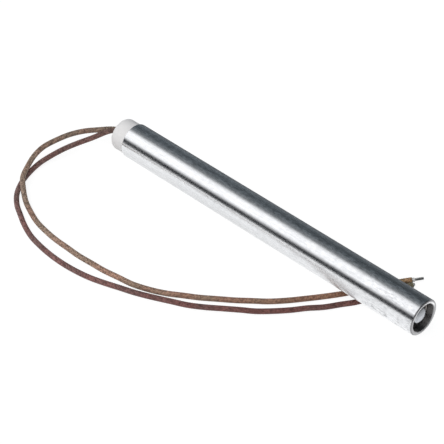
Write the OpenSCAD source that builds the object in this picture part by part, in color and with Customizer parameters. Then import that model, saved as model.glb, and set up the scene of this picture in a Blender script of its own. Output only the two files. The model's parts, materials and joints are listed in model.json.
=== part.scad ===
// Cartridge heater, 12.5 mm by 127 mm, lying on a flat surface with its two leads looped under its tip.
// Each piece is drawn along +X, from the lead end of the sheath at x = 0 to the tip, and then laid down.

/* [Sheath] */
// Outer diameter of the sheath
sheath_d = 12.45; // [11.5:0.05:16]
// Length of the sheath
sheath_len = 127; // [110:1:180]
// Wall of the sheath
sheath_wall = 1.3; // [0.8:0.05:1.6]
// Rounding of the rim at the tip
rim_round = 0.5; // [0.1:0.05:0.6]
// Rounding of the outer edge at the lead end
mouth_round = 0.3; // [0.05:0.05:0.5]

/* [End disc] */
// Depth of the recess, from the rim to the flat of the end disc
recess_depth = 3; // [2.2:0.1:8]
// Thickness of the end disc
disc_t = 1.5; // [0.8:0.1:4]
// Diameter of the raised centre
boss_d = 6; // [4:0.1:7]
// Height of the raised centre
boss_h = 1.9; // [1.3:0.1:2]
// Rounding of the raised centre's edge
boss_round = 1.2; // [0.2:0.1:1.2]
// Size of the weld fillet between disc and sheath
weld_fillet = 0.6; // [0.2:0.1:0.8]

/* [Ceramic cap] */
// Step in from the sheath to the cap
cap_step = 0.5; // [0.2:0.05:1]
// Length of the cap outside the sheath
cap_len = 6.3; // [4:0.1:12]
// Rounding of the cap's outer edge
cap_round = 1.5; // [0.3:0.1:2]
// Length of the spigot inside the sheath
spigot_len = 4.5; // [2:0.1:8]
// Wall between the two lead holes
hole_web = 1; // [0.8:0.05:1.4]
// Flare at the mouth of each lead hole
hole_flare = 0.3; // [0.1:0.05:0.35]

/* [Leads] */
// Diameter over the braid
lead_d = 1.9; // [1.6:0.1:2.3]
// Diameter of the bare strand
strand_d = 0.9; // [0.5:0.05:1.1]
// Diameter of the inner sleeve
liner_d = 1.4; // [1.2:0.05:1.5]
// Turn of the pair of leads about the axis
lead_turn = -30; // [-40:1:-20]
// Straight run of each lead out of the cap
lead_straight = 0.8; // [0.5:0.1:3]
// Inner sleeve that shows beyond the braid of lead 1
liner_1_out = 1; // [0.3:0.1:3]
// Bare strand of lead 1, beyond its inner sleeve
strand_1_out = 3; // [1:0.1:10]
// Inner sleeve that shows beyond the braid of lead 2
liner_2_out = 0.3; // [0.1:0.1:3]
// Bare strand of lead 2, beyond its inner sleeve
strand_2_out = 0.4; // [0.1:0.1:10]

/* [Heating element] */
// Diameter of the ceramic cores
core_d = 6.4; // [6:0.1:6.8]
// Diameter of the two pins
pin_d = 1.2; // [0.8:0.05:1.4]
// Depth of the short pin in the first core
pin_short_in = 10; // [4:0.5:18]
// Diameter of the resistance wire
wire_d = 0.6; // [0.4:0.05:0.8]
// Whole turns of the winding
wire_turns = 36; // [20:1:50]
// Diameter of the crimp sleeves
crimp_d = 2.5; // [2.2:0.05:2.7]
// Length of the crimp sleeves
crimp_len = 9; // [6:0.5:14]
// Wall between the two sockets of a crimp sleeve
crimp_web = 1; // [0.4:0.1:3]
// Thickness of the ceramic spacer over the cores
top_spacer_t = 3; // [1.5:0.1:6]
// Thickness of the ceramic spacer under the end disc
tip_spacer_t = 2; // [1:0.1:6]

/* [Fits and rest] */
// Gap around pieces that slide together
slip = 0.05; // [0.02:0.01:0.1]
// Gap around each lead in its hole
lead_slip = 0.15; // [0.1:0.01:0.2]
// Distance along the sheath from its lead end to the leads that pass under it
crossing_at = 98; // [90:1:106]
// Gap between those leads and the sheath
crossing_gap = 0.7; // [0.6:0.05:1.5]

/* [Hidden] */
$fn = 96;

// A cut reaches this far past the face that it opens
past = 1;
core_count = 4;
lead_sides = 8;
wire_sides = 6;
wire_steps = 12;

sheath_r = sheath_d / 2;
bore_r = sheath_r - sheath_wall;
rim_r = min(rim_round, sheath_wall / 2.2);
cap_r = sheath_r - cap_step;
hole_r = lead_d / 2 + lead_slip;
lead_offset = hole_r + hole_web / 2;
fill_r = bore_r - slip;
core_r = core_d / 2;
wire_r = wire_d / 2;
crimp_socket = (crimp_len - crimp_web) / 2;

// Stations along the axis, from the lead end
spacer_from = spigot_len + crimp_len;
pin_from = spacer_from - crimp_socket;
core_from = spacer_from + top_spacer_t;
disc_to = sheath_len - recess_depth;
disc_from = disc_to - disc_t;
core_to = disc_from - tip_spacer_t;
core_len = (core_to - core_from) / core_count;

// The flat sides of the wire stay clear of the core between the steps of each turn
wind_r = (core_r + slip) / cos(180 / wire_steps) + wire_r;
fill_in_r = wind_r + wire_r + slip;
tail_at = lead_offset + pin_d / 2 + slip;
notch = wire_d + 2 * slip;
wind_from = core_from + notch / 2;
wind_to = core_to - notch / 2;
wind_steps = wire_steps * (wire_turns + 0.5);

// The sheath rests on its lead end and leans on the leads under it
tilt = asin((lead_d + crossing_gap) / crossing_at);
lead_end_z = (sheath_r - mouth_round) * cos(tilt) + mouth_round * (1 - sin(tilt));
lead_end_x = -(sheath_len - cap_len) / 2 * cos(tilt);

// Routes of the leads: distance ahead of the lead end, distance to the side,
// and height of the braid's underside above the surface
LEAD_1_ROUTE = [
    [-9, 0.8, 4.4], [-11.5, -1, 4.3], [-14.5, -4, 4], [-17.5, -7.5, 3.8], [-20, -12, 3.5],
    [-21.5, -17.5, 3.2], [-22, -22.5, 3], [-21, -27.5, 2.7], [-18.5, -33, 2.3], [-16, -37, 2.1],
    [-12.5, -40, 1.6], [-8, -43, 0.5], [-3.5, -45, 0], [2, -47, 0], [7.5, -48, 0], [13, -48.5, 0],
    [18.5, -48.5, 0], [24, -48.5, 0], [29.5, -48, 0], [35, -47.5, 0], [40.5, -46.5, 0],
    [46, -45.5, 0], [51.5, -43.5, 0], [56.5, -41, 0], [61, -38, 0], [65.5, -35, 0], [70, -31.5, 0],
    [74.5, -28, 0], [78.5, -24.5, 0], [82.5, -21, 0], [86.5, -16.5, 0], [90, -12, 0], [93, -8, 0],
    [96.5, -3, 0], [99.5, 2, 0], [102, 6.5, 0], [105, 11.5, 0], [106.8, 14.7, 0], [108.6, 17.4, 0]];
LEAD_2_ROUTE = [
    [-8.6, -1.8, 5.8], [-10, -2.8, 5.2], [-11.1, -4.2, 4.6], [-12.9, -8, 3.7], [-15.2, -13, 2.9],
    [-17, -17.5, 2.1], [-18.5, -22.5, 1], [-19, -27.5, 0.3], [-18, -33, 0], [-16, -38, 0],
    [-13, -42.5, 0], [-9, -46, 0], [-4.5, -48.5, 0], [0.5, -51, 0], [6, -53, 0], [11.5, -54, 0],
    [17, -54.5, 0], [22.5, -54.5, 0], [28, -54, 0], [33.5, -53, 0], [38.5, -51.5, 0],
    [44, -49.5, 0], [49.5, -47.5, 0], [55, -45, 0], [60, -42.5, 0], [65, -40, 0], [69.5, -37, 0],
    [74, -33.5, 0], [78.5, -30, 0], [82.5, -27, 0], [86.5, -23, 0], [90, -19, 0], [93, -15, 0],
    [96.5, -11, 0], [99.5, -6.5, 0], [102.5, -2, 0], [104.5, 3, 0], [106.5, 8, 0],
    [108.5, 12.5, 0], [110.2, 16, 0]];

function unit(v) = v / norm(v);

// A place on the heater's own axes, moved to where the laid-down heater has it
function laid(p) =
    let(y = p.y * cos(lead_turn) - p.z * sin(lead_turn), z = p.y * sin(lead_turn) + p.z * cos(lead_turn))
    [lead_end_x + p.x * cos(tilt) - z * sin(tilt), y, lead_end_z + p.x * sin(tilt) + z * cos(tilt)];

// The whole path of a lead: from its crimp, straight out of the cap, then along its route
function lead_path(side, route) = concat(
    [for (x = [spigot_len, -cap_len, -cap_len - lead_straight]) laid([x, side * lead_offset, 0])],
    [for (p = route) [lead_end_x + p.x, p.y, p.z + lead_d / 2]]);

// The winding: a tail from one pin, a helix along the cores, a tail to the other pin
function wind_path() = concat(
    [[wind_from, -tail_at, 0]],
    [for (i = [0 : wind_steps])
        let(share = i / wind_steps, turn = 180 + i * 360 / wire_steps)
        [wind_from + share * (wind_to - wind_from), wind_r * cos(turn), wind_r * sin(turn)]],
    [[wind_to, tail_at, 0]]);

function heading(path, i) = unit(path[min(i + 1, len(path) - 1)] - path[max(i - 1, 0)]);

// One ring of a swept tube, square to the path, with a flat side facing against the reference
function ring(path, i, d, sides, reference) =
    let(ahead = heading(path, i), across = unit(cross(ahead, reference)), over = cross(across, ahead))
    [for (k = [0 : sides - 1])
        let(a = (k + 0.5) * 360 / sides)
        path[i] + d / 2 * (across * sin(a) + over * cos(a))];

module swept(path, d, sides, reference) {
    rings = len(path);
    points = [for (i = [0 : rings - 1]) each ring(path, i, d, sides, reference)];
    walls = [for (i = [0 : rings - 2], k = [0 : sides - 1])
        let(a = i * sides + k, b = i * sides + (k + 1) % sides)
        each [[a, b, a + sides], [b, b + sides, a + sides]]];
    first = [for (k = [sides - 1 : -1 : 0]) k];
    last = [for (k = [0 : sides - 1]) (rings - 1) * sides + k];
    polyhedron(points, concat([first], walls, [last]));
}

// Lays the heater down from its own axes
module lay() {
    translate([lead_end_x, 0, lead_end_z]) rotate([0, -tilt, 0]) rotate([lead_turn, 0, 0]) children();
}

// A rod along the axis or beside it, between two stations
module rod(from, to, d, y = 0) {
    translate([from, y, 0]) rotate([0, 90, 0]) cylinder(d = d, h = to - from);
}

// A pair of rods, one on each side of the axis
module rod_pair(from, to, d) {
    for (side = [-1, 1]) rod(from, to, d, side * lead_offset);
}

// A profile with its radius along X and its station along Y, turned about the axis
module turned() {
    rotate([0, 90, 0]) rotate_extrude() children();
}

// What is cut from a square corner to round it
module corner_waste(r) {
    difference() {
        square(r + past);
        circle(r);
    }
}

module sheath() {
    color("gainsboro") lay() turned() difference() {
        translate([bore_r, 0]) square([sheath_wall, sheath_len]);
        translate([sheath_r - rim_r, sheath_len - rim_r]) corner_waste(rim_r);
        translate([bore_r + rim_r, sheath_len - rim_r]) mirror([1, 0]) corner_waste(rim_r);
        translate([sheath_r - mouth_round, mouth_round]) mirror([0, 1]) corner_waste(mouth_round);
    }
}

// The end disc, with a raised centre and a hollow weld fillet against the sheath
module end_disc() {
    boss_r = boss_d / 2;
    color("silver") lay() turned() {
        translate([0, disc_from]) square([fill_r, disc_t]);
        difference() {
            translate([0, disc_to]) square([boss_r, boss_h]);
            translate([boss_r - boss_round, disc_to + boss_h - boss_round]) corner_waste(boss_round);
        }
        difference() {
            translate([fill_r - weld_fillet, disc_to]) square(weld_fillet);
            translate([fill_r - weld_fillet, disc_to + weld_fillet]) circle(weld_fillet);
        }
    }
}

module tip_spacer() {
    color("ivory") lay() rod(core_to, disc_from, 2 * fill_r);
}

// One core of the row, with a notch for the winding's tail at each end of the row
module core(place) {
    from = core_from + place * core_len;
    to = from + core_len;
    notch_reach = core_r + past - lead_offset;
    color("beige") lay() difference() {
        rod(from, to, core_d);
        rod_pair(from - past, to + past, pin_d + 2 * slip);
        if (place == 0)
            translate([from - past, -lead_offset - notch_reach, -notch / 2])
                cube([notch + past, notch_reach, notch]);
        if (place == core_count - 1)
            translate([to - notch, lead_offset, -notch / 2])
                cube([notch + past, notch_reach, notch]);
    }
}

module winding() {
    color("dimgray") lay() swept(wind_path(), wire_d, wire_sides, [1, 0, 0]);
}

module pin_long() {
    color("lightsteelblue") lay() rod(pin_from, core_to, pin_d, lead_offset);
}

module pin_short() {
    color("lightsteelblue") lay() rod(pin_from, core_from + pin_short_in, pin_d, -lead_offset);
}

module mgo_fill() {
    color("whitesmoke") lay() difference() {
        rod(core_from, core_to, 2 * fill_r);
        rod(core_from - past, core_to + past, 2 * fill_in_r);
    }
}

module top_spacer() {
    color("ivory") lay() difference() {
        rod(spacer_from, core_from, 2 * fill_r);
        rod_pair(spacer_from - past, core_from + past, pin_d + 2 * slip);
    }
}

// A crimp sleeve with a socket for the lead's strand and one for the pin
module crimp(side) {
    color("lightgray") lay() difference() {
        rod(spigot_len, spacer_from, crimp_d, side * lead_offset);
        rod(spigot_len - past, spigot_len + crimp_socket, strand_d + 2 * slip, side * lead_offset);
        rod(pin_from, spacer_from + past, pin_d + 2 * slip, side * lead_offset);
    }
}

module end_cement() {
    color("linen") lay() difference() {
        rod(spigot_len, spacer_from, 2 * fill_r);
        rod_pair(spigot_len - past, spacer_from + past, crimp_d + 2 * slip);
    }
}

// The cap: a head seated on the sheath, a spigot inside it, and two flared lead holes
module ceramic_cap() {
    color("white") lay() difference() {
        turned() {
            translate([0, -cap_len]) difference() {
                square([cap_r, cap_len]);
                translate([cap_r - cap_round, cap_round]) mirror([0, 1]) corner_waste(cap_round);
            }
            square([fill_r, spigot_len]);
        }
        rod_pair(-cap_len - past, spigot_len + past, 2 * hole_r);
        for (side = [-1, 1])
            translate([-cap_len, side * lead_offset, 0]) rotate([0, 90, 0])
                cylinder(r1 = hole_r + hole_flare, r2 = hole_r, h = hole_flare);
    }
}

module lead(side, route) {
    swept(lead_path(side, route), lead_d, lead_sides, [0, 0, 1]);
}

module lead_1() {
    color("tan") lead(1, LEAD_1_ROUTE);
}

module lead_2() {
    color("brown") lead(-1, LEAD_2_ROUTE);
}

// Stands its children on the cut end of a lead, pointing onwards
module at_end(path) {
    ahead = heading(path, len(path) - 1);
    translate(path[len(path) - 1]) rotate([0, acos(ahead.z), atan2(ahead.y, ahead.x)]) children();
}

module liner(side, route, out) {
    color("white") at_end(lead_path(side, route)) difference() {
        cylinder(d = liner_d, h = out);
        translate([0, 0, -past]) cylinder(d = strand_d + 2 * slip, h = out + 2 * past);
    }
}

module lead_1_liner() {
    liner(1, LEAD_1_ROUTE, liner_1_out);
}

module lead_2_liner() {
    liner(-1, LEAD_2_ROUTE, liner_2_out);
}

// The bare strand at both ends of a lead: inside its crimp, and at the stripped end
module conductor(side, route, out) {
    color("gray") {
        lay() rod(spigot_len, spigot_len + crimp_socket, strand_d, side * lead_offset);
        at_end(lead_path(side, route)) cylinder(d = strand_d, h = out);
    }
}

module lead_1_conductor() {
    conductor(1, LEAD_1_ROUTE, liner_1_out + strand_1_out);
}

module lead_2_conductor() {
    conductor(-1, LEAD_2_ROUTE, liner_2_out + strand_2_out);
}

sheath();
end_disc();
tip_spacer();
core(0);  // core_1
core(1);  // core_2
core(2);  // core_3
core(3);  // core_4
winding();
pin_long();
pin_short();
mgo_fill();
top_spacer();
crimp(1);  // crimp_1
crimp(-1);  // crimp_2
end_cement();
ceramic_cap();
lead_1();
lead_2();
lead_1_liner();
lead_2_liner();
lead_1_conductor();
lead_2_conductor();
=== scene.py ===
"""Looks of the cartridge heater: finishes, woven leads, camera, studio light and floor."""

import json
import math

import bpy
import numpy as np
from mathutils import Matrix, Vector


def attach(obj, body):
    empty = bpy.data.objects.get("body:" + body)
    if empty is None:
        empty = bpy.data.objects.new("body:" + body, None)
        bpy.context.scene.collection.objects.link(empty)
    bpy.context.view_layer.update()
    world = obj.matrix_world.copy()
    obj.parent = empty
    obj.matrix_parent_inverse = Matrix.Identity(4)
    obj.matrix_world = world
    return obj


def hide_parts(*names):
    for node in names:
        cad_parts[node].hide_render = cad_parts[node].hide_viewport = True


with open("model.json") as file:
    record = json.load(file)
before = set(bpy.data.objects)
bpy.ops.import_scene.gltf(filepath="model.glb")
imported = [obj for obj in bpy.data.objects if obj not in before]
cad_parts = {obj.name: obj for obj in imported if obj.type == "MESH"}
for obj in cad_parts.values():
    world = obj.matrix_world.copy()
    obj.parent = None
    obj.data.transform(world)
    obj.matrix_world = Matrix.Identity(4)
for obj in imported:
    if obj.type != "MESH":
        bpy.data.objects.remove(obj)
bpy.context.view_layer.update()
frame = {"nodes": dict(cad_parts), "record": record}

# Units: every length below is in metres, apart from the leads' routes
MM = 0.001
UM = 0.001 * MM

# The heater's own axes: x along the sheath from its lead end, z away from the floor
sheath_mount = next(m for m in frame["record"]["mounts"] if m["name"] == "sheath")
SHEATH_R = sheath_mount["dims"]["r_mm"] * MM
SHEATH_LEN = 127 * MM
WALL = 1.3 * MM
BORE_R = SHEATH_R - WALL
AXIS = Vector(sheath_mount["axis"]).normalized()
SIDE = Vector((0, 1, 0))
UP = AXIS.cross(SIDE)
LEAD_END = Vector(sheath_mount["pos_m"]) - AXIS * (SHEATH_LEN / 2)
HEATER = Matrix.Translation(LEAD_END) @ Matrix((AXIS, SIDE, UP)).transposed().to_4x4()

# Leads, as the construction has them
LEAD_D = 1.9 * MM
STRAND_D = 0.9 * MM
LEAD_OFFSET = 1.6 * MM
LEAD_TURN = math.radians(-30)
CAP_LEN = 6.3 * MM
SPIGOT_LEN = 4.5 * MM
LEAD_STRAIGHT = 0.8 * MM
CRIMP_SOCKET = 4 * MM
LEAD_1_BARE = 4 * MM
LEAD_2_BARE = 0.7 * MM
LEAD_LEN = 216 * MM

# Route of each lead in millimetres, from the point on the floor under the sheath's lead end
LEAD_1_ROUTE = [
    (-9, 0.8, 4.4), (-11.5, -1, 4.3), (-14.5, -4, 4), (-17.5, -7.5, 3.8), (-20, -12, 3.5),
    (-21.5, -17.5, 3.2), (-22, -22.5, 3), (-21, -27.5, 2.7), (-18.5, -33, 2.3), (-16, -37, 2.1),
    (-12.5, -40, 1.6), (-8, -43, 0.5), (-3.5, -45, 0), (2, -47, 0), (7.5, -48, 0), (13, -48.5, 0),
    (18.5, -48.5, 0), (24, -48.5, 0), (29.5, -48, 0), (35, -47.5, 0), (40.5, -46.5, 0), (46, -45.5, 0),
    (51.5, -43.5, 0), (56.5, -41, 0), (61, -38, 0), (65.5, -35, 0), (70, -31.5, 0), (74.5, -28, 0),
    (78.5, -24.5, 0), (82.5, -21, 0), (86.5, -16.5, 0), (90, -12, 0), (93, -8, 0), (96.5, -3, 0),
    (99.5, 2, 0), (102, 6.5, 0), (105, 11.5, 0), (106.8, 14.7, 0), (108.6, 17.4, 0),
]
LEAD_2_ROUTE = [
    (-8.6, -1.8, 5.8), (-10, -2.8, 5.2), (-11.1, -4.2, 4.6), (-12.9, -8, 3.7), (-15.2, -13, 2.9),
    (-17, -17.5, 2.1), (-18.5, -22.5, 1), (-19, -27.5, 0.3), (-18, -33, 0), (-16, -38, 0),
    (-13, -42.5, 0), (-9, -46, 0), (-4.5, -48.5, 0), (0.5, -51, 0), (6, -53, 0), (11.5, -54, 0),
    (17, -54.5, 0), (22.5, -54.5, 0), (28, -54, 0), (33.5, -53, 0), (38.5, -51.5, 0), (44, -49.5, 0),
    (49.5, -47.5, 0), (55, -45, 0), (60, -42.5, 0), (65, -40, 0), (69.5, -37, 0), (74, -33.5, 0),
    (78.5, -30, 0), (82.5, -27, 0), (86.5, -23, 0), (90, -19, 0), (93, -15, 0), (96.5, -11, 0),
    (99.5, -6.5, 0), (102.5, -2, 0), (104.5, 3, 0), (106.5, 8, 0), (108.5, 12.5, 0), (110.2, 16, 0),
]


class Look:
    """A material with its shader, and short ways to add nodes and join them."""

    def __init__(self, name, **sockets):
        self.material = bpy.data.materials.new(name)
        self.material.use_nodes = True
        self.tree = self.material.node_tree
        self.shader = self.tree.nodes["Principled BSDF"]
        for socket, value in sockets.items():
            self.shader.inputs[socket.replace("_", " ")].default_value = value

    def add(self, kind, inputs=None, **settings):
        node = self.tree.nodes.new(kind)
        for setting, value in settings.items():
            setattr(node, setting, value)
        for socket, value in (inputs or {}).items():
            if isinstance(value, bpy.types.NodeSocket):
                self.tree.links.new(value, node.inputs[socket])
            else:
                node.inputs[socket].default_value = value
        return node

    def link(self, output, socket):
        self.tree.links.new(output, self.shader.inputs[socket])

    def heater_place(self):
        """The point's place on the heater's own axes."""
        here = self.add("ShaderNodeTexCoord").outputs["Object"]
        back = HEATER.inverted()
        return self.add("ShaderNodeMapping", {
            "Vector": here,
            "Location": back.translation,
            "Rotation": back.to_euler(),
        }).outputs["Vector"]

    def heater_axes(self):
        """That place, its parts along the heater, to its back and up, and its distance from the axis."""
        place = self.heater_place()
        parts = self.add("ShaderNodeSeparateXYZ", {0: place}).outputs
        out = self.add("ShaderNodeCombineXYZ", {"Y": parts["Y"], "Z": parts["Z"]}).outputs[0]
        radius = self.add("ShaderNodeVectorMath", {0: out}, operation="LENGTH").outputs["Value"]
        return place, parts, radius

    def noise(self, vector, scale, detail=3.0, stretch=None):
        """Noise from 0 to 1, with the place stretched along the axes first."""
        if stretch:
            stretched = self.add("ShaderNodeVectorMath", {0: vector, 1: stretch}, operation="MULTIPLY")
            vector = stretched.outputs[0]
        return self.add("ShaderNodeTexNoise", {
            "Vector": vector,
            "Scale": scale,
            "Detail": detail,
        }).outputs["Fac"]

    def math(self, operation, a, b=0.0):
        return self.add("ShaderNodeMath", {0: a, 1: b}, operation=operation).outputs[0]

    def product(self, value, *factors):
        for factor in factors:
            value = self.math("MULTIPLY", value, factor)
        return value

    def scaled(self, tone, factor):
        """A colour times a number."""
        return self.add("ShaderNodeVectorMath", {0: tone, "Scale": factor}, operation="SCALE").outputs[0]

    def span(self, value, low, high, to_low=0.0, to_high=1.0):
        """Value from low to high, carried over to another span and held at its ends."""
        return self.add("ShaderNodeMapRange", {
            "Value": value,
            "From Min": low,
            "From Max": high,
            "To Min": to_low,
            "To Max": to_high,
        }).outputs["Result"]

    def mix(self, amount, a, b):
        """Colour a where amount is 0, and colour b where it is 1."""
        node = self.add("ShaderNodeMix", data_type="RGBA")
        for socket, value in ((0, amount), (6, a), (7, b)):
            if isinstance(value, bpy.types.NodeSocket):
                self.tree.links.new(value, node.inputs[socket])
            else:
                node.inputs[socket].default_value = value
        return node.outputs[2]

    def bump(self, height, depth, strength=1.0, below=None):
        """A bump of that depth in metres, on top of another one."""
        inputs = {"Height": height, "Distance": depth, "Strength": strength}
        if below is not None:
            inputs["Normal"] = below
        return self.add("ShaderNodeBump", inputs).outputs["Normal"]


def colour(r, g, b):
    return (r, g, b, 1.0)


def fill_ramp(ramp, stops):
    """Gives a colour ramp its stops, each a place from 0 to 1 and a colour."""
    elements = ramp.color_ramp.elements
    while len(elements) < len(stops):
        elements.new(0.5)
    for element, (place, tone) in zip(elements, stops):
        element.position = place
        element.color = tone


# Places where the sheath's finish and its painted shade and light change: along it from its lead end, to
# its back, and up from its axis
WEAR_AND_SHADE_ALONG = (50 * MM, 118 * MM)
SCUFFED_ALONG = (96 * MM, 122 * MM)
SCUFFED_UP = (0.6 * MM, -2.0 * MM)
MARKED_BACK = (-2.2 * MM, -0.2 * MM)
CALM_BACK = (4.5 * MM, 2.0 * MM)
CREST_SHADE_FRONT = (0.0, 1.0 * MM)
CREST_SHADE_BACK = (3.2 * MM, 2.2 * MM)
UNDERSIDE_LIGHT_UP = (1.0 * MM, -1.4 * MM)
UNDERSIDE_LIGHT_ALONG = (60 * MM, 115 * MM)
SMOOTH_ALONG = (0.0, 60 * MM)

# Places at the tip: on the sheath's end and on the disc inside it
RECESS_ALONG = (SHEATH_LEN - 4.5 * MM, SHEATH_LEN - 3.5 * MM)
RECESS_RADIUS = (BORE_R + 0.20 * MM, BORE_R + 0.02 * MM)
RIM_ALONG = (SHEATH_LEN - 0.45 * MM, SHEATH_LEN - 0.15 * MM)
EDGE_SHADE_RADIUS = (SHEATH_R - 0.45 * MM, SHEATH_R - 0.15 * MM)
LIP_HIGHLIGHT_RADIUS = (BORE_R + 0.75 * MM, BORE_R + 0.45 * MM)
LIP_HIGHLIGHT_UP = (1.0 * MM, 3.0 * MM)
WELD_RADIUS = (2.8 * MM, 3.6 * MM)
BOSS_SHADOW_UP = (-0.8 * MM, 1.8 * MM)


# Finishes of the metal pieces that show, with painted shade and highlights on the sheath and disc
def sheath_scuffs(look, place, along, up):
    """Scuffs in patches near the tip, most of them on the lower half."""
    specks = look.span(look.noise(place, 1.0, 3.0, stretch=(800, 2400, 2400)), 0.50, 0.60)
    patches = look.span(look.noise(place, 260, 3.0), 0.41, 0.56)
    near_tip = look.span(along, *SCUFFED_ALONG, 0.10, 1.0)
    low = look.span(up, *SCUFFED_UP, 0.3, 1.0)
    return look.product(specks, patches, near_tip, low)


def sheath_tone(look, place, parts, drawn, wear_and_shade):
    """Colour of the bare tube: drawn lines, flecks and mottle on its upper side, and wear towards the
    tip; painted shade darkens its upper back side near the tip, and painted light darkens its lower side
    towards the lead end and lightens it towards the tip.
    """
    along, back, up = parts
    marked = look.product(look.span(back, *MARKED_BACK), look.span(back, *CALM_BACK, 0.2, 1.0))
    flecks = look.span(look.noise(place, 1.0, 3.0, stretch=(800, 2200, 2200)), 0.38, 0.62)
    flecks = look.product(flecks, look.span(marked, 0.0, 1.0, 0.06, 0.65))
    smudge = look.span(look.noise(place, 420, 4.0, stretch=(0.6, 1, 1)), 0.46, 0.70)
    crest_shade = look.product(look.span(back, *CREST_SHADE_FRONT), look.span(back, *CREST_SHADE_BACK))

    mottle = look.span(look.noise(place, 1.0, 3.0, stretch=(600, 1500, 1500)), 0.35, 0.65, -1.0, 1.0)
    mottle = look.product(mottle, look.span(marked, 0.0, 1.0, 0.08, 0.32),
                          look.span(along, 0.0, WEAR_AND_SHADE_ALONG[1], 0.5, 1.0))
    # Painted light: the lower side is darker towards the lead end and lighter towards the tip.
    underside_light = look.product(look.span(up, *UNDERSIDE_LIGHT_UP), look.span(along, *UNDERSIDE_LIGHT_ALONG, -0.13, 0.07))
    brightness = look.math("ADD", 1.0, look.math("ADD", mottle, underside_light))

    tone = look.mix(look.noise(place, 60, 3.0), colour(0.76, 0.77, 0.79), colour(0.80, 0.81, 0.82))
    tone = look.mix(look.product(wear_and_shade, smudge, 0.3), tone, colour(0.42, 0.43, 0.45))
    tone = look.mix(look.span(drawn, 0.40, 0.62, 0.0, 0.25), tone, colour(0.56, 0.57, 0.59))
    tone = look.mix(flecks, tone, colour(0.38, 0.39, 0.40))
    tone = look.scaled(tone, brightness)
    # Painted shade: the tube's upper back side turns darker towards the tip.
    return look.mix(look.product(wear_and_shade, crest_shade, 0.8), tone, colour(0.38, 0.385, 0.39))


def sheath_end(look, along, up, radius):
    """How much a point belongs to the recess, the rim, the rim's outer rounding with its painted shade,
    and the rim's upper inner rounding with its painted highlight.
    """
    recess = look.product(look.span(radius, *RECESS_RADIUS), look.span(along, *RECESS_ALONG))
    rim = look.math("SUBTRACT", look.span(along, *RIM_ALONG), recess)
    edge_shade = look.product(rim, look.span(radius, *EDGE_SHADE_RADIUS))
    lip_highlight = look.product(rim, look.span(radius, *LIP_HIGHLIGHT_RADIUS), look.span(up, *LIP_HIGHLIGHT_UP))
    return recess, rim, edge_shade, lip_highlight


def sheath_metal():
    """Bright ground tube whose glints spread along it, with a turned rim and a dull recess; painted shade
    darkens the recess wall and the rim's outer rounding, and a painted highlight lightens the rim's inner
    upper rounding.
    """
    look = Look("sheath_metal", Metallic=1.0, Anisotropic=0.92, Anisotropic_Rotation=0.25)
    look.link(look.add("ShaderNodeTangent", direction_type="RADIAL", axis="X").outputs[0], "Tangent")
    place, parts, radius = look.heater_axes()
    along, _, up = parts
    drawn = look.noise(place, 1.0, 2.0, stretch=(90, 2600, 2600))
    grain = look.noise(place, 1400, 3.0, stretch=(0.45, 1, 1))
    # Wear grows towards the tip; this ramp also sets where the painted shade on the upper back side is
    # strongest.
    wear_and_shade = look.span(along, *WEAR_AND_SHADE_ALONG, 0.15, 1.0)
    scuffs = sheath_scuffs(look, place, along, up)
    recess, rim, edge_shade, lip_highlight = sheath_end(look, along, up, radius)

    tone = sheath_tone(look, place, parts, drawn, wear_and_shade)
    tone = look.mix(scuffs, tone, colour(0.22, 0.22, 0.23))
    tone = look.mix(rim, tone, colour(0.43, 0.43, 0.44))
    # Painted shade: the rim's outer rounding is darkened.
    tone = look.mix(edge_shade, tone, colour(0.22, 0.22, 0.23))
    # Painted highlight: the rim's inner upper rounding is lightened.
    tone = look.mix(lip_highlight, tone, colour(0.95, 0.95, 0.96))
    # The recess wall's dark colour is painted shade; its added roughness below is its real dullness.
    look.link(look.mix(recess, tone, colour(0.24, 0.235, 0.235)), "Base Color")

    rough = look.product(look.span(grain, 0.35, 0.65, 0.26, 0.30),
                         look.span(along, *SMOOTH_ALONG, 0.92, 1.0))
    for amount, rougher in ((scuffs, 0.18), (rim, 0.12), (recess, 0.35)):
        rough = look.math("ADD", rough, look.product(amount, rougher))
    look.link(rough, "Roughness")
    normal = look.bump(drawn, 8 * UM, 0.4)
    look.link(look.bump(grain, 16 * UM, look.product(wear_and_shade, 0.4), normal), "Normal")
    return look.material


def disc_metal():
    """Pressed end disc: satin, with a painted shadow darkening the top of its centre, and a grey ring of
    weld round it.
    """
    look = Look("disc_metal", Metallic=1.0)
    place, parts, radius = look.heater_axes()
    blotch = look.noise(place, 700, 4.0)
    grain = look.noise(place, 4000, 3.0)
    ring = look.span(radius, *WELD_RADIUS)
    boss = look.mix(look.span(blotch, 0.35, 0.65), colour(0.42, 0.44, 0.48), colour(0.68, 0.70, 0.73))
    # Painted shadow: the top of the boss is darkened where the rim shades it.
    top = look.span(parts["Z"], *BOSS_SHADOW_UP, 0.0, 0.85)
    boss = look.mix(top, boss, colour(0.20, 0.21, 0.225))
    weld = look.mix(blotch, colour(0.16, 0.155, 0.15), colour(0.32, 0.30, 0.29))
    look.link(look.mix(ring, boss, weld), "Base Color")
    look.link(look.span(blotch, 0.3, 0.7, 0.30, 0.46), "Roughness")
    normal = look.bump(blotch, 20 * UM, 0.6)
    look.link(look.bump(grain, 6 * UM, 0.6, normal), "Normal")
    return look.material


# Finishes of ceramic, wire and yarn
def fired_ceramic(name, pale, dark, fine=2600):
    """Fired ceramic: matte, faintly clouded and grainy."""
    look = Look(name, Roughness=0.62)
    place = look.heater_place()
    cloud = look.noise(place, 240, 4.0)
    grain = look.noise(place, fine, 3.0)
    pits = look.span(look.noise(place, fine * 0.6, 1.0), 0.72, 0.80)
    tone = look.mix(look.span(cloud, 0.3, 0.7), dark, pale)
    look.link(look.mix(look.product(pits, 0.35), tone, colour(0.36, 0.34, 0.31)), "Base Color")
    normal = look.bump(grain, 20 * UM, 0.5)
    look.link(look.bump(look.math("SUBTRACT", 1.0, pits), 30 * UM, 0.5, normal), "Normal")
    return look.material


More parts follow.
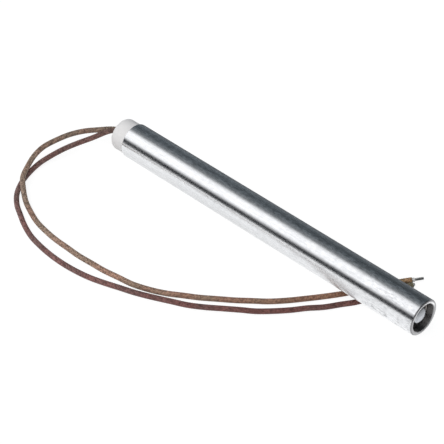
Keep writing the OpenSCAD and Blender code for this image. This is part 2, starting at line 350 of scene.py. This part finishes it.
def dull_metal(name, tone, shade, rough):
    """Wire, pins and crimps: satin metal with lines along it."""
    look = Look(name, Metallic=1.0)
    place = look.heater_place()
    lines = look.noise(place, 1.0, 3.0, stretch=(300, 5000, 5000))
    stain = look.noise(place, 900, 3.0)
    look.link(look.mix(look.span(stain, 0.35, 0.7), tone, shade), "Base Color")
    look.link(look.span(lines, 0.3, 0.7, rough - 0.06, rough + 0.08), "Roughness")
    look.link(look.bump(lines, 6 * UM, 0.5), "Normal")
    return look.material


def glass_yarn(name, tones):
    """Varnished glass yarn: its tone changes along the lead, with flecks and fine filaments."""
    look = Look(name, Roughness=0.6, Specular_IOR_Level=0.35)
    uv = look.add("ShaderNodeUVMap", uv_map="yarn").outputs["UV"]
    tint = look.add("ShaderNodeAttribute", attribute_name="tint").outputs["Fac"]
    here = look.add("ShaderNodeTexCoord").outputs["Object"]
    soak = look.noise(here, 160, 2.0)
    filament = look.noise(uv, 1.0, 1.0, stretch=(11, 1000, 1))
    across, along = look.add("ShaderNodeSeparateXYZ", {0: uv}).outputs[:2]
    on_yarn = look.add("ShaderNodeCombineXYZ", {"X": across, "Y": along, "Z": tint}).outputs[0]
    fleck = look.noise(on_yarn, 1.0, 2.0, stretch=(3, 1700, 90))
    ramp = look.add("ShaderNodeValToRGB", {"Fac": look.math("DIVIDE", along, LEAD_LEN)})
    fill_ramp(ramp, tones)
    share = look.math("ADD", look.product(tint, 0.14), look.product(fleck, 0.86))
    shade = look.product(look.span(share, 0.36, 0.62, 0.5, 1.55), look.span(soak, 0.35, 0.65, 0.88, 1.10))
    warmth = look.span(look.noise(here, 90, 2.0), 0.40, 0.60)
    hue = look.mix(warmth, colour(0.93, 1.0, 1.0), colour(1.08, 0.98, 0.97))
    tone = look.add("ShaderNodeVectorMath", {0: ramp.outputs["Color"], 1: hue}, operation="MULTIPLY")
    look.link(look.scaled(tone.outputs[0], shade), "Base Color")
    look.link(look.bump(filament, 30 * UM, 0.7), "Normal")
    return look.material


# Curves and frames along a lead
CURVE_STEPS = 40


def smooth_line(points, step):
    """A smooth curve through the points, with its own points a step apart."""
    p = np.array([tuple(q) for q in points])
    p = np.vstack([2 * p[0] - p[1], p, 2 * p[-1] - p[-2]])
    fine = []
    for a, b, c, d in zip(p[:-3], p[1:-2], p[2:-1], p[3:]):
        for t in np.linspace(0, 1, CURVE_STEPS, endpoint=False):
            fine.append(0.5 * (2 * b + (c - a) * t + (2 * a - 5 * b + 4 * c - d) * t ** 2
                               + (3 * b - a - 3 * c + d) * t ** 3))
    fine.append(p[-2])
    fine = np.array(fine)
    run = np.concatenate([[0], np.cumsum(np.linalg.norm(np.diff(fine, axis=0), axis=1))])
    at = np.linspace(0, run[-1], int(round(run[-1] / step)) + 1)
    return np.stack([np.interp(at, run, fine[:, k]) for k in range(3)], axis=1)


def carried_frames(line):
    """Directions across a line that turn with it and don't twist."""
    along = np.gradient(line, axis=0)
    along /= np.linalg.norm(along, axis=1)[:, None]
    across = np.zeros_like(line)
    first = np.cross(along[0], (0.0, 0.0, 1.0))
    across[0] = first / np.linalg.norm(first)
    for i in range(1, len(line)):
        turned = across[i - 1] - along[i] * np.dot(across[i - 1], along[i])
        across[i] = turned / np.linalg.norm(turned)
    return along, across, np.cross(along, across)


class Sweep:
    """Gathers swept profiles into one mesh, with a tint and filament coordinates on each."""

    def __init__(self):
        self.points = []
        self.faces = []
        self.uvs = []
        self.tints = []
        self.count = 0

    def add(self, rings, tint, run):
        """rings[i][j] is point j of profile i, and run[i] how far along the yarn it is."""
        n, sides = rings.shape[:2]
        base = self.count
        self.points.append(rings.reshape(-1, 3))
        self.tints.append(np.full(n * sides, tint))
        across = np.arange(sides) / sides
        uv = np.broadcast_arrays(across[None, :], run[:, None])
        self.uvs.append(np.stack(uv, axis=2).reshape(-1, 2))
        i, j = np.meshgrid(np.arange(n - 1), np.arange(sides), indexing="ij")
        a = base + i * sides + j
        b = base + i * sides + (j + 1) % sides
        self.faces += np.stack([a, b, b + sides, a + sides], axis=2).reshape(-1, 4).tolist()
        self.faces.append(list(range(base + sides - 1, base - 1, -1)))
        self.faces.append(list(range(base + (n - 1) * sides, base + n * sides)))
        self.count += n * sides

    def mesh(self, name):
        data = bpy.data.meshes.new(name)
        data.from_pydata(np.vstack(self.points).tolist(), [], self.faces)
        tint = data.attributes.new("tint", "FLOAT", "POINT")
        tint.data.foreach_set("value", np.concatenate(self.tints))
        corner = np.zeros(len(data.loops), dtype=np.int32)
        data.loops.foreach_get("vertex_index", corner)
        data.uv_layers.new(name="yarn").data.foreach_set("uv", np.vstack(self.uvs)[corner].ravel())
        data.shade_smooth()
        return data


def show(name, data, finish, slot, *nodes):
    """A new piece with that mesh and finish, which stands for those nodes."""
    piece = bpy.data.objects.new(name, data)
    bpy.context.scene.collection.objects.link(piece)
    data.materials.append(finish)
    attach(piece, "root")
    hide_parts(*nodes)
    return piece


# Braid of a lead: flat yarns that wind both ways, each over two and under two
YARNS_A_WAY = 8
BRAID_PITCH = 6.4 * MM
BRAID_STEP = 0.27 * MM
YARN_W = 0.58 * MM
YARN_T = 0.075 * MM
YARN_LIFT = 0.05 * MM
YARN_FLATNESS = 1.6
YARN_PROFILE = ((-0.5, -0.45), (-0.27, 0.72), (0.0, 1.0), (0.27, 0.72), (0.5, -0.45), (0.0, -1.0))
CORE_R = 0.77 * MM
CORE_SIDES = 12
CORE_EVERY = 4


def braid_mesh(name, line, rng):
    """The yarns of a lead along its middle line, round a plain core that closes the gaps."""
    along, across, third = carried_frames(line)
    run = np.arange(len(line)) * BRAID_STEP
    sweep = Sweep()
    middle = LEAD_D / 2 - YARN_T - YARN_LIFT
    for way in (1, -1):
        for k in range(YARNS_A_WAY):
            angle = way * math.tau * run / BRAID_PITCH + math.tau * k / YARNS_A_WAY
            crossing = 2 * k + way * 2 * YARNS_A_WAY * run / BRAID_PITCH
            lift = way * np.tanh(YARN_FLATNESS * np.cos(math.pi / 2 * (crossing - 0.5))) * YARN_LIFT
            out = across * np.cos(angle)[:, None] + third * np.sin(angle)[:, None]
            centre = line + out * (middle + lift)[:, None]
            forward = np.gradient(centre, axis=0)
            forward /= np.linalg.norm(forward, axis=1)[:, None]
            sideways = np.cross(forward, out)
            sideways /= np.linalg.norm(sideways, axis=1)[:, None]
            rings = np.stack([centre + sideways * (u * YARN_W) + out * (v * YARN_T)
                              for u, v in YARN_PROFILE], axis=1)
            sweep.add(rings, rng.random(), run)
    inner = slice(0, None, CORE_EVERY)
    turns = np.arange(CORE_SIDES) * math.tau / CORE_SIDES
    rings = np.stack([line[inner] + (across[inner] * math.cos(t) + third[inner] * math.sin(t)) * CORE_R
                      for t in turns], axis=1)
    rings[-1] += line[-1] - line[inner][-1]
    sweep.add(rings, 0.0, run[inner])
    return sweep.mesh(name)


# Bare strand: nineteen wires, twisted in two layers round one
WIRE_D = STRAND_D / 5
WIRE_SIDES = 8
TWIST_PITCH = 9 * MM
WIRE_STEP = 0.1 * MM


def strand_mesh(name, stretches):
    """Wires along straight stretches, each given by its start, direction and length."""
    sweep = Sweep()
    layers = [(1, 0.0), (6, WIRE_D), (12, 2 * WIRE_D)]
    turns = np.arange(WIRE_SIDES) * math.tau / WIRE_SIDES
    for start, direction, length in stretches:
        run = np.linspace(0, length, max(3, int(length / WIRE_STEP)))
        line = np.array(start) + run[:, None] * np.array(direction)
        along, across, third = carried_frames(line)
        for count, radius in layers:
            for k in range(count):
                angle = math.tau * run / TWIST_PITCH + math.tau * k / count
                out = across * np.cos(angle)[:, None] + third * np.sin(angle)[:, None]
                centre = line + out * radius
                rings = np.stack([centre + (across * math.cos(t) + third * math.sin(t)) * (WIRE_D / 2)
                                  for t in turns], axis=1)
                sweep.add(rings, 0.5, run / WIRE_D)
    return sweep.mesh(name)


def lead_line(side, route):
    """Points inside the cap, and all points of the lead from the cap's spigot to the end of the braid."""
    aside = (SIDE * math.cos(LEAD_TURN) + UP * math.sin(LEAD_TURN)) * side * LEAD_OFFSET
    inside = [LEAD_END + AXIS * x + aside for x in (SPIGOT_LEN, -CAP_LEN, -CAP_LEN - LEAD_STRAIGHT)]
    floor = Vector((LEAD_END.x, 0, LEAD_D / 2))
    outside = [floor + Vector(p) * MM for p in route]
    return inside, inside + outside


def make_lead(number, side, route, bare, finish, seed):
    """Braid and bare strand of one lead, with its yarns' tints drawn from the seed."""
    rng = np.random.default_rng(seed)
    inside, points = lead_line(side, route)
    line = smooth_line(points, BRAID_STEP)
    name = f"lead_{number}"
    slot = {1: "tan_braid", 2: "red_braid"}[number]
    braid = show(f"{name}_braid", braid_mesh(f"{name}_braid", line, rng), finish, slot, name)
    end = points[-1]
    forward = (end - points[-2]).normalized()
    stretches = [(inside[0], AXIS, CRIMP_SOCKET), (end, forward, bare)]
    strand = show(f"{name}_strand", strand_mesh(f"{name}_strand", stretches), FINISHES["nickel"],
                  "nickel", f"{name}_conductor")


FINISHES = {
    "sheath_metal": sheath_metal(),
    "disc_metal": disc_metal(),
    "cap_ceramic": fired_ceramic("cap_ceramic", colour(0.93, 0.918, 0.912), colour(0.88, 0.866, 0.86)),
    "spacer_ceramic": fired_ceramic("spacer_ceramic", colour(0.86, 0.84, 0.77), colour(0.78, 0.75, 0.68)),
    "magnesia": fired_ceramic("magnesia", colour(0.88, 0.86, 0.80), colour(0.80, 0.77, 0.70), 3600),
    "cement": fired_ceramic("cement", colour(0.80, 0.77, 0.70), colour(0.66, 0.62, 0.55), 1500),
    "resistance_wire": dull_metal(
        "resistance_wire", colour(0.45, 0.44, 0.42), colour(0.30, 0.28, 0.27), 0.38),
    "nickel": dull_metal("nickel", colour(0.60, 0.59, 0.57), colour(0.40, 0.39, 0.38), 0.32),
    "white_glass": fired_ceramic("white_glass", colour(0.82, 0.82, 0.80), colour(0.66, 0.66, 0.64), 5200),
    "tan_braid": glass_yarn("tan_braid", [
        (0.0, colour(0.22, 0.158, 0.12)),
        (0.45, colour(0.40, 0.265, 0.20)),
        (0.9, colour(0.235, 0.135, 0.085)),
        (1.0, colour(0.42, 0.26, 0.14)),
    ]),
    "red_braid": glass_yarn("red_braid", [
        (0.0, colour(0.15, 0.092, 0.076)),
        (0.35, colour(0.235, 0.13, 0.12)),
        (0.6, colour(0.197, 0.097, 0.088)),
        (0.95, colour(0.13, 0.056, 0.046)),
        (1.0, colour(0.24, 0.20, 0.13)),
    ]),
}
for subpart in frame["record"]["subparts"]:
    node = frame["nodes"][subpart["node"]]
    node.data.materials.clear()
    node.data.materials.append(FINISHES[subpart["material_slot"]])

make_lead(1, 1, LEAD_1_ROUTE, LEAD_1_BARE, FINISHES["tan_braid"], seed=11)
make_lead(2, -1, LEAD_2_ROUTE, LEAD_2_BARE, FINISHES["red_braid"], seed=23)

# Camera at the photograph's angle
FOCAL_PX = 1764
IMAGE_PX = 444
SENSOR_MM = 36
CAMERA_AZIMUTH = math.radians(43.91)
CAMERA_ELEVATION = math.radians(42.68)
CAMERA_PLACE = Vector((0.28248, -0.31288, 0.3953))


def make_camera():
    right = Vector((math.cos(CAMERA_AZIMUTH), math.sin(CAMERA_AZIMUTH), 0))
    back = Vector((math.sin(CAMERA_AZIMUTH) * math.cos(CAMERA_ELEVATION),
                   -math.cos(CAMERA_AZIMUTH) * math.cos(CAMERA_ELEVATION),
                   math.sin(CAMERA_ELEVATION)))
    data = bpy.data.cameras.new("camera")
    data.sensor_width = SENSOR_MM
    data.lens = SENSOR_MM * FOCAL_PX / IMAGE_PX
    data.clip_start = 0.01
    camera = bpy.data.objects.new("camera", data)
    turn = Matrix((right, back.cross(right), back)).transposed().to_4x4()
    camera.matrix_world = Matrix.Translation(CAMERA_PLACE) @ turn
    bpy.context.scene.collection.objects.link(camera)
    bpy.context.scene.camera = camera


make_camera()


# Studio: a soft panel, a dim room and a white floor that keeps the shadow
def make_panel(name, towards, distance, width, height, radiance):
    """A soft panel that faces the heater, of that brightness, and doesn't show in reflections."""
    data = bpy.data.lights.new(name, "AREA")
    data.shape = "RECTANGLE"
    data.size = width
    data.size_y = height
    data.energy = radiance * math.pi * width * height
    panel = bpy.data.objects.new(name, data)
    direction = Vector(towards).normalized()
    panel.location = direction * distance
    panel.rotation_euler = direction.to_track_quat("Z", "Y").to_euler()
    panel.visible_camera = False
    panel.visible_glossy = False
    bpy.context.scene.collection.objects.link(panel)


# Brightness of the room round the heater's long axis: degrees up from behind it, then the tone
ROOM_TONES = [
    (0, (0.210, 0.240, 0.260)),
    (15, (0.160, 0.184, 0.203)),
    (32, (0.103, 0.120, 0.134)),
    (45, (0.127, 0.146, 0.162)),
    (59, (0.155, 0.175, 0.190)),
    (67, (0.260, 0.280, 0.296)),
    (77, (0.240, 0.255, 0.270)),
    (84, (0.48, 0.49, 0.50)),
    (90, (0.92, 0.93, 0.94)),
    (98, (1.33, 1.33, 1.34)),
    (108, (1.43, 1.43, 1.44)),
    (139, (1.40, 1.40, 1.41)),
    (160, (0.02, 0.022, 0.026)),
    (180, (0.02, 0.022, 0.026)),
]

# The room dims beyond the tip: how far a direction leans that way, and the share of light that is left
ROOM_FADE = (0.3, 0.65)
ROOM_DIM = 0.12


def make_room():
    """A soft strip above the heater's front, in a room that is dim elsewhere and beyond the tip."""
    world = bpy.data.worlds.new("room")
    world.use_nodes = True
    bpy.context.scene.world = world
    nodes, links = world.node_tree.nodes, world.node_tree.links
    way = nodes.new("ShaderNodeTexCoord")
    split = nodes.new("ShaderNodeSeparateXYZ")
    turn = nodes.new("ShaderNodeMath")
    turn.operation = "ARCTAN2"
    share = nodes.new("ShaderNodeMath")
    share.operation = "DIVIDE"
    share.inputs[1].default_value = math.pi
    ramp = nodes.new("ShaderNodeValToRGB")
    fill_ramp(ramp, [(degrees / 180, colour(*tone)) for degrees, tone in ROOM_TONES])
    links.new(way.outputs["Generated"], split.inputs[0])
    links.new(split.outputs["Z"], turn.inputs[0])
    links.new(split.outputs["Y"], turn.inputs[1])
    links.new(turn.outputs[0], share.inputs[0])
    links.new(share.outputs[0], ramp.inputs["Fac"])
    links.new(ramp.outputs["Color"], nodes["Background"].inputs["Color"])
    fade = nodes.new("ShaderNodeMapRange")
    fade.inputs["From Min"].default_value = ROOM_FADE[0]
    fade.inputs["From Max"].default_value = ROOM_FADE[1]
    fade.inputs["To Min"].default_value = 1.0
    fade.inputs["To Max"].default_value = ROOM_DIM
    links.new(split.outputs["X"], fade.inputs["Value"])
    links.new(fade.outputs["Result"], nodes["Background"].inputs["Strength"])


# Floor, and a dark card of painted shade that shows in reflections only
FLOOR_HALF = 6.0
PAPER = 0.8
SHADOW_DEPTH = 0.26
WHITE_SEEN = 0.86
WHITE_MIRRORED = 0.95
SHADE_CARD_NEAR = 12.5 * MM
SHADE_CARD_FAR = 4.0
SHADE_CARD_LIFT = 0.2 * MM


def flat_sheet(name, x_span, y_span):
    """A flat rectangle on the floor."""
    (x0, x1), (y0, y1) = x_span, y_span
    data = bpy.data.meshes.new(name)
    data.from_pydata([(x0, y0, 0), (x1, y0, 0), (x1, y1, 0), (x0, y1, 0)], [], [(0, 1, 2, 3)])
    sheet = bpy.data.objects.new(name, data)
    bpy.context.scene.collection.objects.link(sheet)
    return sheet


def make_floor():
    """A large white floor: seen as white, lit as paper, with the heater's soft shadow on it."""
    floor = flat_sheet("floor", (-FLOOR_HALF, FLOOR_HALF), (-FLOOR_HALF, FLOOR_HALF))
    look = Look("floor")
    path = look.add("ShaderNodeLightPath").outputs
    seen = look.math("MAXIMUM", path["Is Camera Ray"], path["Is Glossy Ray"])
    seen = look.math("MAXIMUM", seen, path["Is Transmission Ray"])
    paper = look.add("ShaderNodeBsdfDiffuse", {"Color": colour(PAPER, PAPER, PAPER)}).outputs[0]
    dim = colour(SHADOW_DEPTH, SHADOW_DEPTH, SHADOW_DEPTH)
    shaded = look.add("ShaderNodeBsdfDiffuse", {"Color": dim}).outputs[0]
    level = look.span(path["Is Glossy Ray"], 0.0, 1.0, WHITE_SEEN, WHITE_MIRRORED)
    white = look.add("ShaderNodeEmission", {"Strength": level}).outputs[0]
    shown = look.add("ShaderNodeAddShader", {0: shaded, 1: white}).outputs[0]
    either = look.add("ShaderNodeMixShader", {0: seen, 1: paper, 2: shown}).outputs[0]
    look.tree.links.new(either, look.tree.nodes["Material Output"].inputs["Surface"])
    floor.data.materials.append(look.material)


def make_shade_card():
    """A dark card that lies behind the heater and shows in reflections only: a painted reflection of the
    floor's shade behind it.
    """
    shade_card = flat_sheet("shade_card", (-SHADE_CARD_FAR, LEAD_END.x + SHEATH_LEN), (SHADE_CARD_NEAR, SHADE_CARD_FAR))
    shade_card.location.z = SHADE_CARD_LIFT
    shade_card.visible_camera = False
    shade_card.visible_diffuse = False
    shade_card.visible_transmission = False
    shade_card.visible_shadow = False
    # Painted shade: the card's dark colour stands in for the shaded floor seen in reflections.
    look = Look("shade_card", Base_Color=colour(0.21, 0.225, 0.24), Roughness=0.9)
    shade_card.data.materials.append(look.material)


make_panel("key_panel", (0.62, -0.55, 0.56), distance=1.2, width=0.8, height=0.8, radiance=2.2)
make_room()
make_floor()
make_shade_card()
bpy.context.scene.view_settings.view_transform = "Standard"
